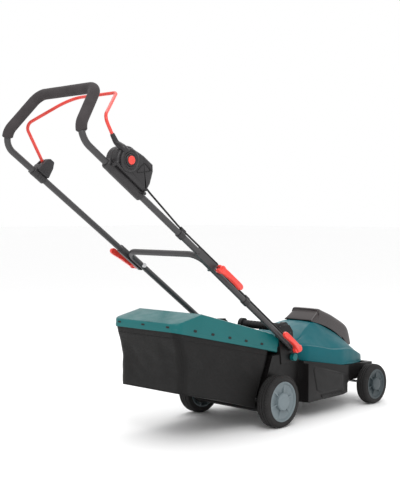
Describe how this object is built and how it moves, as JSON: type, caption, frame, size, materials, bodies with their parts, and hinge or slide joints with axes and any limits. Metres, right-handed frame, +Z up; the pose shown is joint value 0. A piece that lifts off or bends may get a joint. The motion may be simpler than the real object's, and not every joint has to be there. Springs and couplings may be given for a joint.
{
  "type": "push lawn mower",
  "caption": "Walk-behind battery rotary lawn mower with folding tubular handle, squeeze bail, rear grass bag with rigid lid and smoked battery lid.",
  "frame": {"origin": "middle of the bounding box in plan, on the ground under the wheels", "axes": "+X forwards, +Y to the mower's left, +Z up"},
  "size_m": [1.5249, 0.436, 1.1065],
  "materials": {
    "deck_shell": "matte",
    "motor_cover": "gloss",
    "battery_bay": "matte",
    "battery_contacts": "satin",
    "motor_housing": "satin",
    "motor_stator": "satin",
    "controller_board": "matte",
    "carry_handle": "matte",
    "handle_bracket_left": "matte",
    "handle_bracket_right": "matte",
    "front_axle": "satin",
    "rear_axle": "satin",
    "axle_clips": "satin",
    "wheel_retainers": "satin",
    "flap_pin": "satin",
    "flap_spring": "satin",
    "cover_screws": "satin",
    "cover_lug": "gloss",
    "deck_bolts": "satin",
    "deck_cable": "matte",
    "motor_rotor": "satin",
    "blade_carrier": "matte",
    "mower_blade": "satin",
    "blade_bolt": "satin",
    "rear_tyre_left": "matte",
    "rear_hub_left": "matte",
    "rear_tyre_right": "matte",
    "rear_hub_right": "matte",
    "front_tyre_left": "matte",
    "front_hub_left": "matte",
    "front_tyre_right": "matte",
    "front_hub_right": "matte",
    "battery_lid": "gloss",
    "battery_pack": "matte",
    "safety_key": "gloss",
    "rear_flap": "matte",
    "bag_lid": "gloss",
    "bag_fabric": "woven",
    "bag_frame": "satin",
    "lower_handle_tube": "satin",
    "lower_cable": "matte",
    "lower_cable_clip": "matte",
    "mid_bolts": "satin",
    "upper_handle_tube": "satin",
    "foam_grip": "matte",
    "switch_housing": "matte",
    "switch_cover": "matte",
    "bail_bracket": "matte",
    "clamp_screws": "satin",
    "microswitch": "matte",
    "bail_spring": "satin",
    "upper_cable": "matte",
    "upper_cable_clip": "matte",
    "bail_rod": "satin",
    "bail_lever": "matte",
    "lock_button": "gloss",
    "cam_lever_mid_left": "gloss",
    "cam_lever_mid_right": "gloss",
    "cam_lever_deck_left": "gloss",
    "cam_lever_deck_right": "gloss"
  },
  "bodies": {
    "chassis": {"deck_shell": "deck_shell", "motor_cover": "motor_cover", "battery_bay": "battery_bay", "battery_contacts": "battery_contacts", "motor_housing": "motor_housing", "motor_stator": "motor_stator", "controller_board": "controller_board", "carry_handle": "carry_handle", "handle_bracket_left": "handle_bracket_left", "handle_bracket_right": "handle_bracket_right", "front_axle": "front_axle", "rear_axle": "rear_axle", "axle_clips": "axle_clips", "wheel_retainers": "wheel_retainers", "flap_pin": "flap_pin", "flap_spring": "flap_spring", "cover_screws": "cover_screws", "cover_lug": "cover_lug", "deck_bolts": "deck_bolts", "deck_cable": "deck_cable"},
    "blade": {"motor_rotor": "motor_rotor", "blade_carrier": "blade_carrier", "mower_blade": "mower_blade", "blade_bolt": "blade_bolt"},
    "rear_wheel_left": {"rear_tyre_left": "rear_tyre_left", "rear_hub_left": "rear_hub_left"},
    "rear_wheel_right": {"rear_tyre_right": "rear_tyre_right", "rear_hub_right": "rear_hub_right"},
    "front_wheel_left": {"front_tyre_left": "front_tyre_left", "front_hub_left": "front_hub_left"},
    "front_wheel_right": {"front_tyre_right": "front_tyre_right", "front_hub_right": "front_hub_right"},
    "battery_cover": {"battery_lid": "battery_lid"},
    "battery": {"battery_pack": "battery_pack"},
    "key": {"safety_key": "safety_key"},
    "flap": {"rear_flap": "rear_flap"},
    "grass_bag": {"bag_lid": "bag_lid", "bag_fabric": "bag_fabric", "bag_frame": "bag_frame"},
    "lower_handle": {"lower_handle_tube": "lower_handle_tube", "lower_cable": "lower_cable", "lower_cable_clip": "lower_cable_clip", "mid_bolts": "mid_bolts"},
    "upper_handle": {"upper_handle_tube": "upper_handle_tube", "foam_grip": "foam_grip", "switch_housing": "switch_housing", "switch_cover": "switch_cover", "bail_bracket": "bail_bracket", "clamp_screws": "clamp_screws", "microswitch": "microswitch", "bail_spring": "bail_spring", "upper_cable": "upper_cable", "upper_cable_clip": "upper_cable_clip"},
    "bail": {"bail_rod": "bail_rod", "bail_lever": "bail_lever"},
    "lock": {"lock_button": "lock_button"},
    "mid_lever_left": {"cam_lever_mid_left": "cam_lever_mid_left"},
    "mid_lever_right": {"cam_lever_mid_right": "cam_lever_mid_right"},
    "deck_lever_left": {"cam_lever_deck_left": "cam_lever_deck_left"},
    "deck_lever_right": {"cam_lever_deck_right": "cam_lever_deck_right"}
  },
  "joints": [
    {"name": "rear_wheel_left_spin", "type": "hinge", "parent": "chassis", "child": "rear_wheel_left", "pos_m": [0.10125, 0.186, 0.09], "axis": [0, 1, 0], "continuous": true},
    {"name": "rear_wheel_right_spin", "type": "hinge", "parent": "chassis", "child": "rear_wheel_right", "pos_m": [0.10125, -0.186, 0.09], "axis": [0, 1, 0], "continuous": true},
    {"name": "front_wheel_left_spin", "type": "hinge", "parent": "chassis", "child": "front_wheel_left", "pos_m": [0.67325, 0.188, 0.076], "axis": [0, 1, 0], "continuous": true},
    {"name": "front_wheel_right_spin", "type": "hinge", "parent": "chassis", "child": "front_wheel_right", "pos_m": [0.67325, -0.188, 0.076], "axis": [0, 1, 0], "continuous": true},
    {"name": "blade_spin", "type": "hinge", "parent": "chassis", "child": "blade", "pos_m": [0.40125, 0, 0.072], "axis": [0, 0, 1], "continuous": true},
    {"name": "lower_handle_fold", "type": "hinge", "parent": "chassis", "child": "lower_handle", "pos_m": [0.20125, 0, 0.262], "axis": [0, -1, 0], "range_deg": [-130, 0]},
    {"name": "upper_handle_fold", "type": "hinge", "parent": "lower_handle", "child": "upper_handle", "pos_m": [-0.20875, 0, 0.555], "axis": [0, -1, 0], "range_deg": [0, 168]},
    {"name": "bail_squeeze", "type": "hinge", "parent": "upper_handle", "child": "bail", "pos_m": [-0.60375, 0, 0.882], "axis": [0, -1, 0], "range_deg": [0, 20], "stiffness_Nm_per_rad": 3, "springref_deg": -20.05},
    {"name": "lock_button_press", "type": "slide", "parent": "upper_handle", "child": "lock", "axis": [0, 1, 0], "range_m": [0, 0.006], "stiffness_N_per_m": 500, "springref_m": -0.002},
    {"name": "mid_lever_left_open", "type": "hinge", "parent": "lower_handle", "child": "mid_lever_left", "pos_m": [-0.20875, 0.2019, 0.555], "axis": [-0.4751, 0, -0.8799], "range_deg": [0, 90]},
    {"name": "mid_lever_right_open", "type": "hinge", "parent": "lower_handle", "child": "mid_lever_right", "pos_m": [-0.20875, -0.2019, 0.555], "axis": [-0.5744, 0, -0.8186], "range_deg": [0, 90]},
    {"name": "deck_lever_left_open", "type": "hinge", "parent": "chassis", "child": "deck_lever_left", "pos_m": [0.20125, 0.1914, 0.262], "axis": [-0.5888, 0, -0.8083], "range_deg": [0, 90]},
    {"name": "deck_lever_right_open", "type": "hinge", "parent": "chassis", "child": "deck_lever_right", "pos_m": [0.20125, -0.1914, 0.262], "axis": [0.5888, 0, 0.8083], "range_deg": [0, 90]},
    {"name": "battery_cover_open", "type": "hinge", "parent": "chassis", "child": "battery_cover", "pos_m": [0.72325, 0, 0.205], "axis": [0, 1, 0], "range_deg": [0, 75]},
    {"name": "battery_lift", "type": "slide", "parent": "chassis", "child": "battery", "axis": [0, 0, 1], "range_m": [0, 0.1]},
    {"name": "key_lift", "type": "slide", "parent": "chassis", "child": "key", "axis": [0, 0, 1], "range_m": [0, 0.0255]},
    {"name": "rear_flap_open", "type": "hinge", "parent": "chassis", "child": "flap", "pos_m": [0.21325, 0, 0.283], "axis": [0, 1, 0], "range_deg": [0, 50], "stiffness_Nm_per_rad": 0.4, "springref_deg": -22.92},
    {"name": "grass_bag_off", "type": "slide", "parent": "chassis", "child": "grass_bag", "axis": [-1, 0, 0], "range_m": [0, 0.6]}
  ],
  "couplings": [
    {"joint": "upper_handle_fold", "follows": "lower_handle_fold", "ratio": -1.2923},
    {"joint": "battery_lift", "follows": "battery_cover_open", "m_per_rad": 0.0763},
    {"joint": "key_lift", "follows": "battery_cover_open", "m_per_rad": 0.0194}
  ]
}
